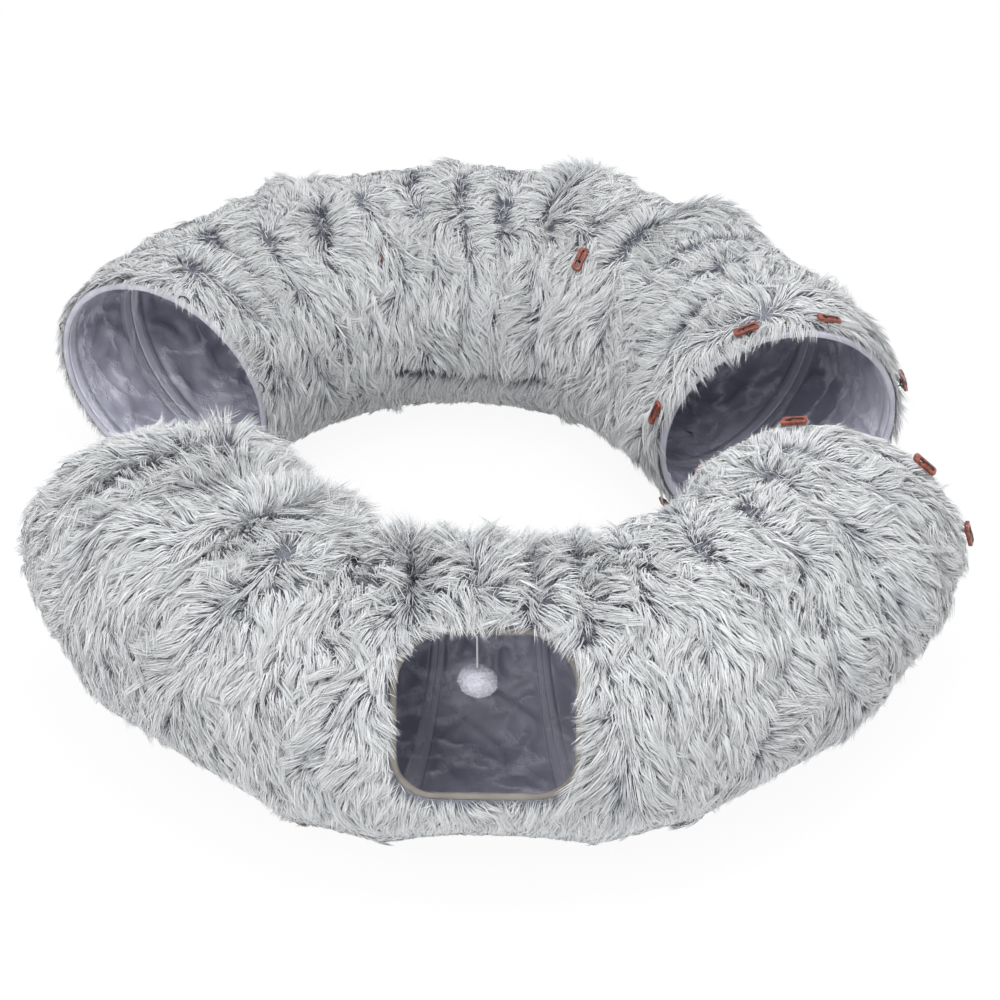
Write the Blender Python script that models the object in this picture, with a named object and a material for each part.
"""Plush cat tunnel laid out as a ring.

Two separate half rings lie on the floor. Each is three hooped sections, a plush cover over a
smooth lining with spring steel hoops between them, buttoned end to end by toggles on elastic
cords. The front half has a window in its middle section, and a pompom hangs in the window.

Metres, +Z up, -Y towards the viewer. The origin is on the floor under the middle of the object.
"""
import math

import bmesh
import bpy
from mathutils import Matrix, Vector

# The hoops and the ring that they stand round
HOOP_RADIUS = 0.1285
HOOP_WIRE_DIAMETER = 0.003
ARC_RADIUS = 0.356
SECTION_ANGLE = 47.3
JOINT_GAP_ANGLE = 0.7
HOOP_SETBACK_ANGLE = 0.4

# The cloth round the hoops
LINING_THICKNESS = 0.0012
PILE_DEPTH = 0.0135
PILE_SWELL = 0.0065
GATHER_DEPTH = 0.0035
GATHER_PITCH_ANGLE = 9.5
CUFF_ANGLE = 4.2
FLOOR_PRESS = 0.0015
BINDING_WIDTH = 0.011
BINDING_THICKNESS = 0.003
BINDING_ROLL = 0.0008
BINDING_OVERLAP = 0.001

# Clearances between pieces that touch
CLEARANCE = 0.0003
WIRE_CLEARANCE = 0.0006

# Where the two halves lie: the rear arc's centre from the front arc's, and which way each faces
REAR_SHIFT_X = -0.043
REAR_SHIFT_Y = -0.019
REAR_HEADING = 83.0
FRONT_HEADING = 270.0

# The window in the front half, and its binding
WINDOW_WIDTH = 0.168
WINDOW_HEIGHT = 0.150
WINDOW_TOP_RADIUS = 0.046
WINDOW_BOTTOM_RADIUS = 0.030
WINDOW_ANGLE = -0.6
WINDOW_TILT = 41.0
WINDOW_HOOP_MARGIN = 0.0125
WINDOW_TAPE_DIAMETER = 0.006

# The pompom on its string
KNOT_OFFSET = -0.018
KNOT_DIAMETER = 0.005
STRING_DIAMETER = 0.0018
STRING_LENGTH = 0.045
POMPOM_WIDTH = 0.037
POMPOM_HEIGHT = 0.031

# The toggles, which are slotted oblongs, and the elastic that holds them
TOGGLE_LENGTH = 0.027
TOGGLE_WIDTH = 0.0105
TOGGLE_THICKNESS = 0.004
TOGGLE_CORNER = 0.003
TOGGLE_SLOT = 0.0055
TOGGLE_SLOT_OFFSET = 0.005
TOGGLE_HOLE = 0.0024
TOGGLE_HOLE_OFFSET = 0.0095
CORD_DIAMETER = 0.0014
ELASTIC_DIAMETER = 0.0018
LOOP_WIDTH = 0.012
LOOP_SEAM = 0.002

# Facets. Every ring has a flat facet at its lowest point, so the tunnel lies on flats
RING_SIDES = 20
RING_STEP_ANGLE = 8.0
PILE_RINGS_PER_STEP = 2
WIRE_SIDES = 5
FACET_ANGLE = 360.0 / RING_SIDES
FACET_COSINE = math.cos(math.radians(FACET_ANGLE / 2))
CORNER_STEPS = 3
SMOOTH_ANGLE = 35.0
EDGE_STEPS = 4

# Facets that carry something, counted from the one that faces away from the ring's centre
REAR_RIM_FACETS = (1, 4, 6, 9, 12, 18)
FRONT_RIM_FACETS = (1, 3, 6, 9, 12, 18)
JOINT_TOGGLE_FACETS = (2, 7, 12, 17)

# Radii about the tunnel's centreline, from the lining out to the pile
WIRE_RADIUS = HOOP_WIRE_DIAMETER / 2
CORD_RADIUS = CORD_DIAMETER / 2
TAPE_RADIUS = WINDOW_TAPE_DIAMETER / 2
LINING_RADIUS = HOOP_RADIUS - WIRE_RADIUS - WIRE_CLEARANCE
COVER_RADIUS = HOOP_RADIUS + WIRE_RADIUS + WIRE_CLEARANCE
LINING_BILLOW = COVER_RADIUS - CLEARANCE - LINING_RADIUS
CUFF_RADIUS = COVER_RADIUS + PILE_DEPTH
AXIS_HEIGHT = CUFF_RADIUS * FACET_COSINE - FLOOR_PRESS
BINDING_INNER_RADIUS = LINING_RADIUS - LINING_THICKNESS - BINDING_OVERLAP
BINDING_OUTER_RADIUS = BINDING_INNER_RADIUS + BINDING_WIDTH
BINDING_EDGE = (BINDING_OUTER_RADIUS + BINDING_ROLL) * FACET_COSINE
PILE_FACE = CUFF_RADIUS * FACET_COSINE
ELASTIC_RADIUS = COVER_RADIUS + PILE_DEPTH / 2
TOGGLE_LIFT = TOGGLE_WIDTH**2 / 2 / (ARC_RADIUS - CUFF_RADIUS)
TOGGLE_SEAT = PILE_FACE + TOGGLE_LIFT + CLEARANCE + TOGGLE_THICKNESS / 2
CORD_ROOT = BINDING_EDGE + CLEARANCE + CORD_RADIUS

# Angles along the arc, in degrees from the middle of a half ring
JOINT_ANGLE = SECTION_ANGLE / 2
RIM_ANGLE = JOINT_ANGLE + SECTION_ANGLE
RIM_GAP_ANGLE = math.degrees(CLEARANCE / (ARC_RADIUS - CUFF_RADIUS))
BINDING_ANGLE = math.degrees(BINDING_THICKNESS / ARC_RADIUS)

# The window's hoops stand just past its sides, level with its middle
WINDOW_MIDDLE_RADIUS = ARC_RADIUS + HOOP_RADIUS * math.cos(math.radians(WINDOW_TILT))
WINDOW_HOOP_REACH = WINDOW_WIDTH / 2 + WINDOW_HOOP_MARGIN
WINDOW_HOOP_ANGLE = math.degrees(math.asin(WINDOW_HOOP_REACH / WINDOW_MIDDLE_RADIUS))
WINDOW_HOOP_SHARES = tuple(
    0.5 + (WINDOW_ANGLE + sign * WINDOW_HOOP_ANGLE) / (SECTION_ANGLE - JOINT_GAP_ANGLE) for sign in (-1, 1)
)

# The middle hoops of each section, and where each stands, as a share of it in the arc's direction
REAR_HOOPS = {"right": ("right",), "middle": ("middle",), "left": ("left",)}
FRONT_HOOPS = {"left": ("left",), "middle": ("window_left", "window_right"), "right": ("right",)}
REAR_HOOP_SHARES = {"right": (0.44,), "middle": (0.5,), "left": (0.73,)}
FRONT_HOOP_SHARES = {"left": (0.45,), "middle": WINDOW_HOOP_SHARES, "right": (0.45,)}

COLOURS = {
    "plush": (0.70, 0.71, 0.72, 0.95, 0.0),
    "lining": (0.30, 0.30, 0.36, 0.35, 0.0),
    "steel": (0.62, 0.62, 0.64, 0.30, 1.0),
    "binding": (0.50, 0.49, 0.56, 0.70, 0.0),
    "window_tape": (0.36, 0.32, 0.29, 0.80, 0.0),
    "toggle": (0.30, 0.10, 0.05, 0.35, 0.0),
    "elastic": (0.02, 0.02, 0.025, 0.80, 0.0),
    "pompom": (0.80, 0.79, 0.85, 0.95, 0.0),
    "string": (0.85, 0.85, 0.86, 0.80, 0.0),
}


def clear_scene():
    for obj in list(bpy.data.objects):
        bpy.data.objects.remove(obj, do_unlink=True)


def new_collection(name):
    collection = bpy.data.collections.new(name)
    bpy.context.scene.collection.children.link(collection)
    return collection


def finish_material(name, finish):
    red, green, blue, roughness, metallic = COLOURS[finish]
    material = bpy.data.materials.new(name + "_finish")
    material.use_nodes = True
    shader = material.node_tree.nodes["Principled BSDF"]
    shader.inputs["Base Color"].default_value = (red, green, blue, 1.0)
    shader.inputs["Roughness"].default_value = roughness
    shader.inputs["Metallic"].default_value = metallic
    return material


def add_object(name, data, finish, parent, matrix=None):
    """Puts mesh or curve data in the part, under the empty on its half's axis."""
    obj = bpy.data.objects.new(name, data)
    PART.objects.link(obj)
    obj.parent = parent
    if matrix is not None:
        obj.matrix_local = matrix
    data.materials.append(finish_material(name, finish))
    return obj


def mesh_from(name, bm):
    mesh = bpy.data.meshes.new(name)
    bmesh.ops.recalc_face_normals(bm, faces=bm.faces[:])
    bm.to_mesh(mesh)
    bm.free()
    mesh.shade_smooth()
    mesh.set_sharp_from_angle(angle=math.radians(SMOOTH_ANGLE))
    return mesh


# Places on the ring. theta runs along the arc from the half's middle, and turn runs round the
# tunnel from the side that faces away from the ring's centre, both in degrees


def ring_frame(theta, radius, turn):
    """X along the tunnel, Y round it and Z out of it, at a point that far from its centreline."""
    along, around = math.radians(theta), math.radians(turn)
    away = Vector((math.cos(along), math.sin(along), 0.0))
    x_axis = Vector((-math.sin(along), math.cos(along), 0.0))
    z_axis = away * math.cos(around) + Vector((0.0, 0.0, math.sin(around)))
    y_axis = z_axis.cross(x_axis)
    place = away * ARC_RADIUS + Vector((0.0, 0.0, AXIS_HEIGHT)) + z_axis * radius
    frame = Matrix((x_axis, y_axis, z_axis)).transposed().to_4x4()
    frame.translation = place
    return frame


def place_on_ring(point):
    """theta, radius and turn of a point in the half's own frame."""
    theta = math.atan2(point.y, point.x)
    out = math.hypot(point.x, point.y) - ARC_RADIUS
    up = point.z - AXIS_HEIGHT
    return math.degrees(theta), math.hypot(out, up), math.degrees(math.atan2(up, out))


# Sections


def section_span(side, sign):
    """First and last angle of a section, in the arc's direction."""
    half_gap = JOINT_GAP_ANGLE / 2
    if side == "middle":
        return -JOINT_ANGLE + half_gap, JOINT_ANGLE - half_gap
    ends = sorted((sign * (JOINT_ANGLE + half_gap), sign * RIM_ANGLE))
    return ends[0], ends[1]


def section_rings(span, shares):
    """The angles of the cloth's rings, with one at each middle hoop."""
    first, last = span
    stops = [first] + [first + (last - first) * share for share in shares] + [last]
    rings = [first]
    for start, end in zip(stops, stops[1:]):
        count = max(2, round((end - start) / RING_STEP_ANGLE))
        rings += [start + (end - start) * step / count for step in range(1, count + 1)]
    return rings, stops


def between_hoops(theta, stops):
    """How far theta is between two hoops, from 0 at one to 1 at the next."""
    for start, end in zip(stops, stops[1:]):
        if theta <= end:
            return min(max((theta - start) / (end - start), 0.0), 1.0)
    return 1.0


def pile_radius(theta, turn, stops):
    """The pile stands proud between the hoops and is drawn in over them, in slanting gathers."""
    inset = min(theta - stops[0], stops[-1] - theta)
    freed = min(max(inset / CUFF_ANGLE - 1.0, 0.0), 1.0)
    swell = PILE_SWELL * math.sin(math.pi * between_hoops(theta, stops))
    slant = math.sin(math.radians(2 * turn + 40.0))
    wave = math.cos(2 * math.pi * theta / GATHER_PITCH_ANGLE + slant)
    return CUFF_RADIUS + freed * (swell + GATHER_DEPTH * wave * abs(math.cos(math.radians(turn - 60.0))))


def lining_radius(theta, stops):
    """The lining is tight over the hoops and billows out to the cover between them."""
    billow = min(1.0, 2.2 * math.sin(math.pi * between_hoops(theta, stops)))
    return LINING_RADIUS + LINING_BILLOW * billow


def set_ring(verts, theta, radius_at):
    """Moves a ring of points to its place on the arc, each kept on its own side of the tunnel."""
    for vert in verts:
        turn = place_on_ring(vert.co)[2]
        vert.co = ring_frame(theta, radius_at(theta, turn), turn).translation


def tube_shell(name, outer_rings, inner_rings, outer_at, inner_at):
    """A closed tube with a wall: a ring of edges swept along the arc, then back inside itself."""
    stations = [(theta, outer_at) for theta in outer_rings]
    stations += [(theta, inner_at) for theta in reversed(inner_rings)]
    bm = bmesh.new()
    ring = bmesh.ops.create_circle(bm, segments=RING_SIDES, radius=HOOP_RADIUS)["verts"]
    edges = bm.edges[:]
    half_facet = Matrix.Rotation(math.radians(FACET_ANGLE / 2), 4, "Z")
    upright = ring_frame(stations[0][0], 0.0, 0.0) @ Matrix.Rotation(math.radians(90.0), 4, "Y")
    bmesh.ops.transform(bm, matrix=upright @ half_facet, verts=ring)
    set_ring(ring, *stations[0])
    for station in stations[1:] + stations[:1]:
        grown = bmesh.ops.extrude_edge_only(bm, edges=edges)["geom"]
        ring = [item for item in grown if isinstance(item, bmesh.types.BMVert)]
        edges = [item for item in grown if isinstance(item, bmesh.types.BMEdge)]
        set_ring(ring, *station)
    bmesh.ops.remove_doubles(bm, verts=bm.verts[:], dist=CLEARANCE / 10)
    for vert in bm.verts:
        vert.co.z = max(vert.co.z, 0.0)
    return mesh_from(name, bm)


def halved(rings, parts):
    """The same rings with each step cut in equal parts."""
    fine = [rings[0]]
    for start, end in zip(rings, rings[1:]):
        fine += [start + (end - start) * part / parts for part in range(1, parts + 1)]
    return fine


def make_cover(name, rings, stops, parent):
    mesh = tube_shell(
        name,
        halved(rings, PILE_RINGS_PER_STEP),
        rings,
        lambda theta, turn: pile_radius(theta, turn, stops),
        lambda theta, turn: COVER_RADIUS,
    )
    return add_object(name, mesh, "plush", parent)


def make_lining(name, rings, stops, parent):
    mesh = tube_shell(
        name,
        rings,
        rings,
        lambda theta, turn: lining_radius(theta, stops),
        lambda theta, turn: lining_radius(theta, stops) - LINING_THICKNESS,
    )
    return add_object(name, mesh, "lining", parent)


def binding_mesh(name, rim, outward):
    """The tape sewn round an open rim, a flat ring with a rolled edge."""
    first = rim + outward * RIM_GAP_ANGLE
    rings = sorted((first, first + outward * BINDING_ANGLE / 2, first + outward * BINDING_ANGLE))

    def roll(theta):
        return BINDING_ROLL if abs(theta - rings[1]) < BINDING_ANGLE / 4 else 0.0

    return tube_shell(
        name,
        rings,
        rings,
        lambda theta, turn: BINDING_OUTER_RADIUS + roll(theta),
        lambda theta, turn: BINDING_INNER_RADIUS - roll(theta),
    )


def wire_ring(name, theta, ring_radius, wire_radius):
    """A closed hoop of wire or cord, upright across the tunnel."""
    bm = bmesh.new()
    wire = bmesh.ops.create_circle(bm, segments=WIRE_SIDES, radius=wire_radius)["verts"]
    start = Matrix.Translation((ring_radius, 0.0, 0.0)) @ Matrix.Rotation(math.radians(90.0), 4, "X")
    bmesh.ops.transform(bm, matrix=start, verts=wire)
    bmesh.ops.spin(
        bm,
        geom=bm.verts[:] + bm.edges[:],
        cent=(0.0, 0.0, 0.0),
        axis=(0.0, 0.0, 1.0),
        angle=math.radians(360.0),
        steps=RING_SIDES,
        use_merge=True,
        use_duplicate=False,
    )
    half_facet = Matrix.Rotation(math.radians(FACET_ANGLE / 2), 4, "Z")
    upright = ring_frame(theta, 0.0, 0.0) @ Matrix.Rotation(math.radians(90.0), 4, "Y")
    bmesh.ops.transform(bm, matrix=upright @ half_facet, verts=bm.verts[:])
    return mesh_from(name, bm)


def make_hoop(name, theta, parent):
    return add_object(name, wire_ring(name, theta, HOOP_RADIUS, WIRE_RADIUS), "steel", parent)


# Toggles, cords and loops


def rounded_outline(width, height, radii, steps, edge_steps=1):
    """Points round a rectangle with arcs at its corners, from top right, counter-clockwise."""
    corners = ((1, 1), (-1, 1), (-1, -1), (1, -1))
    arcs = []
    for index, (side, up) in enumerate(corners):
        radius = radii[index]
        centre = (side * (width / 2 - radius), up * (height / 2 - radius))
        angles = [math.radians(90.0 * (index + step / steps)) for step in range(steps + 1)]
        arcs.append([(centre[0] + radius * math.cos(a), centre[1] + radius * math.sin(a)) for a in angles])
    points = []
    for arc, following in zip(arcs, arcs[1:] + arcs[:1]):
        points += arc
        start, end = arc[-1], following[0]
        for step in range(1, edge_steps):
            share = step / edge_steps
            points.append(tuple(s + (e - s) * share for s, e in zip(start, end)))
    return points


def add_spline(curve, points, cyclic):
    spline = curve.splines.new("POLY")
    spline.points.add(len(points) - 1)
    for target, point in zip(spline.points, points):
        target.co = (*point, 1.0)
    spline.use_cyclic_u = cyclic


def flat_plate(name, outlines, thickness):
    """A plate with holes: the first outline is its edge, the others are cut out of it."""
    curve = bpy.data.curves.new(name, "CURVE")
    curve.dimensions = "2D"
    curve.fill_mode = "BOTH"
    curve.extrude = thickness / 2
    for outline in outlines:
        add_spline(curve, [(x, y, 0.0) for x, y in outline], True)
    return mesh_of(name, curve)


def round_cord(name, points, radius=CORD_RADIUS, resolution=0, cyclic=False):
    curve = bpy.data.curves.new(name, "CURVE")
    curve.dimensions = "3D"
    curve.bevel_depth = radius
    curve.bevel_resolution = resolution
    curve.use_fill_caps = not cyclic
    add_spline(curve, points, cyclic)
    return mesh_of(name, curve)


def evaluated_mesh(obj):
    """The mesh that an object shows, and the object is removed."""
    graph = bpy.context.evaluated_depsgraph_get()
    mesh = bpy.data.meshes.new_from_object(obj.evaluated_get(graph))
    bpy.data.objects.remove(obj, do_unlink=True)
    return mesh


def mesh_of(name, curve):
    """A curve as a mesh, with its caps welded on."""
    carrier = bpy.data.objects.new(name, curve)
    PART.objects.link(carrier)
    bm = bmesh.new()
    bm.from_mesh(evaluated_mesh(carrier))
    bmesh.ops.remove_doubles(bm, verts=bm.verts[:], dist=CLEARANCE / 10)
    return mesh_from(name, bm)


def joined(name, placed_meshes):
    """One mesh of several that stand apart."""
    bm = bmesh.new()
    for mesh, matrix in placed_meshes:
        copy = mesh.copy()
        copy.transform(matrix)
        bm.from_mesh(copy)
        bpy.data.meshes.remove(copy)
    return mesh_from(name, bm)


def fused(name, base, added):
    """One solid of two that overlap."""
    body = bpy.data.objects.new(name, base)
    tool = bpy.data.objects.new(name + "_tool", added)
    PART.objects.link(body)
    CUTTERS.objects.link(tool)
    union = body.modifiers.new("union", "BOOLEAN")
    union.operation = "UNION"
    union.solver = "EXACT"
    union.object = tool
    mesh = evaluated_mesh(body)
    bpy.data.objects.remove(tool, do_unlink=True)
    mesh.name = name
    mesh.shade_smooth()
    mesh.set_sharp_from_angle(angle=math.radians(SMOOTH_ANGLE))
    return mesh


def toggle_mesh(name, middle):
    """A toggle on its back, its middle that far to the side of the cord at the origin."""
    corners = (TOGGLE_CORNER,) * 4
    body = rounded_outline(TOGGLE_WIDTH, TOGGLE_LENGTH, corners, 1)
    slot = [(x * TOGGLE_SLOT / 2, y * TOGGLE_SLOT / 2) for x, y in ((1, 1), (-1, 1), (-1, -1), (1, -1))]
    hole = [(x * TOGGLE_HOLE / 2, y * TOGGLE_HOLE / 2) for x, y in ((1, 0), (0, 1), (-1, 0), (0, -1))]
    outlines = [
        [(middle + x, y) for x, y in body],
        [(middle + x, TOGGLE_SLOT_OFFSET + y) for x, y in slot],
        [(middle + x, y - TOGGLE_HOLE_OFFSET) for x, y in hole],
    ]
    return flat_plate(name, outlines, TOGGLE_THICKNESS)


def make_rim_toggles(name, rim, outward, facets, parent):
    """Loose toggles at an open rim, each tipping about the root of its cord on the pile's end."""
    offset = outward * (CORD_RADIUS + CLEARANCE)
    plate = toggle_mesh(name, -outward * TOGGLE_WIDTH / 2)
    plate.transform(Matrix.Translation((0.0, 0.0, TOGGLE_SEAT - CORD_ROOT)))
    cord = round_cord(name, [(0.0, 0.0, 0.0), (0.0, 0.0, TOGGLE_SEAT - CORD_ROOT)])
    whole = fused(name, plate, cord)
    for number, facet in enumerate(facets, 1):
        frame = ring_frame(rim, CORD_ROOT, facet * FACET_ANGLE) @ Matrix.Translation((offset, 0.0, 0.0))
        add_object(f"{name}_{number}", whole.copy(), "toggle", parent, frame)


def make_joint_toggles(name, theta, parent):
    """Toggles over the joint of two sections, on an elastic that runs round it between them."""
    facets = [ring_frame(theta, TOGGLE_SEAT, facet * FACET_ANGLE) for facet in JOINT_TOGGLE_FACETS]
    plate = toggle_mesh(name, 0.0)
    cord = round_cord(name, [(0.0, 0.0, ELASTIC_RADIUS * FACET_COSINE - TOGGLE_SEAT), (0.0, 0.0, 0.0)])
    whole = fused(name, plate, cord)
    ring = wire_ring(name, theta, ELASTIC_RADIUS, ELASTIC_DIAMETER / 2)
    mesh = fused(name, ring, joined(name, [(whole, frame) for frame in facets]))
    add_object(name, mesh, "toggle", parent)


def rim_loops(name, rim, outward, facets):
    """Elastic loops for another tunnel's toggles, sewn under the binding's outer edge."""
    low = BINDING_EDGE - LOOP_SEAM
    high = PILE_FACE - CORD_RADIUS
    half = LOOP_WIDTH / 2
    route = [(0.0, -half, low), (0.0, -half, BINDING_EDGE), (0.0, -half / 2, high)]
    route += [(x, -y, z) for x, y, z in reversed(route)]
    loop = round_cord(name, route)
    aside = Matrix.Translation((outward * (CORD_RADIUS + CLEARANCE), 0.0, 0.0))
    return joined(name, [(loop, ring_frame(rim, 0.0, facet * FACET_ANGLE) @ aside) for facet in facets])


# The window, its binding, and the pompom


def window_frame():
    return ring_frame(WINDOW_ANGLE, COVER_RADIUS, WINDOW_TILT)


def window_outline(inset, edge_steps):
    radii = [WINDOW_TOP_RADIUS, WINDOW_TOP_RADIUS, WINDOW_BOTTOM_RADIUS, WINDOW_BOTTOM_RADIUS]
    radii = [radius - inset for radius in radii]
    width, height = WINDOW_WIDTH - 2 * inset, WINDOW_HEIGHT - 2 * inset
    return rounded_outline(width, height, radii, CORNER_STEPS, edge_steps)


def window_point(x, y, radius):
    """The point over x, y of the window's plane that lies that far from the tunnel's centreline."""
    frame = window_frame()
    low, high = -radius, radius
    for _ in range(50):
        middle = (low + high) / 2
        if place_on_ring(frame @ Vector((x, y, middle)))[1] < radius:
            low = middle
        else:
            high = middle
    return frame @ Vector((x, y, low))


def cut_window(obj, cutter):
    cut = obj.modifiers.new("window", "BOOLEAN")
    cut.operation = "DIFFERENCE"
    cut.solver = "EXACT"
    cut.object = cutter


def make_window_cutter(parent):
    plate = flat_plate("window_cutter", [window_outline(0.0, 1)], COVER_RADIUS)
    cutter = bpy.data.objects.new("window_cutter", plate)
    CUTTERS.objects.link(cutter)
    cutter.parent = parent
    cutter.matrix_local = window_frame()
    cutter.hide_render = True
    cutter.display_type = "WIRE"
    return cutter


def make_window_binding(parent):
    """A round tape just inside the window's edge, where the lining and the cover are sewn."""
    inset = TAPE_RADIUS + CLEARANCE
    points = [window_point(x, y, HOOP_RADIUS) for x, y in window_outline(inset, EDGE_STEPS)]
    tape = round_cord("window_binding", points, TAPE_RADIUS, resolution=1, cyclic=True)
    add_object("window_binding", tape, "window_tape", parent)


def make_pompom(parent):
    """The knot under the window's top edge, the string below it and the ball at its end."""
    top = window_point(KNOT_OFFSET, WINDOW_HEIGHT / 2 - TAPE_RADIUS - CLEARANCE, HOOP_RADIUS)
    drop = Vector((0.0, 0.0, 1.0))
    knot_at = top - drop * (TAPE_RADIUS + CLEARANCE + KNOT_DIAMETER / 2)
    hang = Matrix.Translation(knot_at)

    bm = bmesh.new()
    bmesh.ops.create_icosphere(bm, subdivisions=1, radius=KNOT_DIAMETER / 2)
    add_object("pompom_knot", mesh_from("pompom_knot", bm), "string", parent, hang)

    start = KNOT_DIAMETER / 2 + CLEARANCE
    route = [-drop * start, -drop * (start + STRING_LENGTH)]
    string = round_cord("pompom_string", route, STRING_DIAMETER / 2, resolution=1)
    add_object("pompom_string", string, "string", parent, hang)

    bm = bmesh.new()
    bmesh.ops.create_uvsphere(bm, u_segments=12, v_segments=8, radius=POMPOM_WIDTH / 2)
    bmesh.ops.scale(bm, vec=(1.0, 1.0, POMPOM_HEIGHT / POMPOM_WIDTH), verts=bm.verts[:])
    below = start + STRING_LENGTH + CLEARANCE + POMPOM_HEIGHT / 2
    bmesh.ops.translate(bm, vec=-drop * below, verts=bm.verts[:])
    add_object("pompom_ball", mesh_from("pompom_ball", bm), "pompom", parent, hang)


# The two halves


def half_axis(name, x, y, heading):
    """An empty on the vertical axis that a half's hoops fan round when it is folded."""
    empty = bpy.data.objects.new(name, None)
    PART.objects.link(empty)
    empty.matrix_world = Matrix.Translation((x, y, 0.0)) @ Matrix.Rotation(math.radians(heading), 4, "Z")
    return empty


def make_half(half, axis, hoop_names, hoop_shares, rim_facets, signs):
    """Three sections with their hoops, and what fastens them. signs says which way each lies."""
    cloth = {}
    for side, shares in hoop_shares.items():
        name = f"{half}_{side}"
        span = section_span(side, signs.get(side, 0))
        rings, stops = section_rings(span, shares)
        cloth[side] = (
            make_cover(f"{name}_cover", rings, stops, axis),
            make_lining(f"{name}_lining", rings, stops, axis),
        )
        for hoop_name, theta in zip(hoop_names[side], stops[1:-1]):
            make_hoop(f"{half}_{hoop_name}_hoop", theta, axis)
    for side, sign in signs.items():
        name = f"{half}_{side}"
        joint = sign * JOINT_ANGLE
        setback = sign * (JOINT_GAP_ANGLE / 2 + HOOP_SETBACK_ANGLE)
        make_hoop(f"{name}_joint_inner_hoop", joint - setback, axis)
        make_hoop(f"{name}_joint_outer_hoop", joint + setback, axis)
        make_joint_toggles(f"{name}_joint_toggles", joint, axis)
        rim = sign * RIM_ANGLE
        make_hoop(f"{name}_rim_hoop", rim - sign * HOOP_SETBACK_ANGLE, axis)
        binding_name = f"{name}_rim_binding"
        binding = binding_mesh(binding_name, rim, sign)
        if side == "right":
            make_rim_toggles(f"{name}_rim_toggle", rim, sign, rim_facets, axis)
        else:
            loops = rim_loops(binding_name, rim, sign, rim_facets)
            binding = fused(binding_name, binding, loops)
        add_object(binding_name, binding, "binding", axis)
    return cloth


def centre_on_floor(axes):
    """Moves both halves so that the middle of the object's outline is over the origin."""
    bpy.context.view_layer.update()
    graph = bpy.context.evaluated_depsgraph_get()
    corners = []
    for obj in PART.objects:
        if obj.type == "MESH":
            shown = obj.evaluated_get(graph)
            corners += [obj.matrix_world @ vert.co for vert in shown.data.vertices]
    middle_x = (min(c.x for c in corners) + max(c.x for c in corners)) / 2
    middle_y = (min(c.y for c in corners) + max(c.y for c in corners)) / 2
    for axis in axes:
        axis.location.x -= middle_x
        axis.location.y -= middle_y


def build():
    rear = half_axis("rear_half_axis", REAR_SHIFT_X, REAR_SHIFT_Y, REAR_HEADING)
    front = half_axis("front_half_axis", 0.0, 0.0, FRONT_HEADING)
    rear_signs = {"right": -1, "left": 1}
    front_signs = {"right": 1, "left": -1}
    make_half("rear", rear, REAR_HOOPS, REAR_HOOP_SHARES, REAR_RIM_FACETS, rear_signs)
    windowed = make_half("front", front, FRONT_HOOPS, FRONT_HOOP_SHARES, FRONT_RIM_FACETS, front_signs)
    cutter = make_window_cutter(front)
    for obj in windowed["middle"]:
        cut_window(obj, cutter)
    make_window_binding(front)
    make_pompom(front)
    centre_on_floor([rear, front])


clear_scene()
PART = new_collection("cat_tunnel")
CUTTERS = new_collection("cutters")
build()
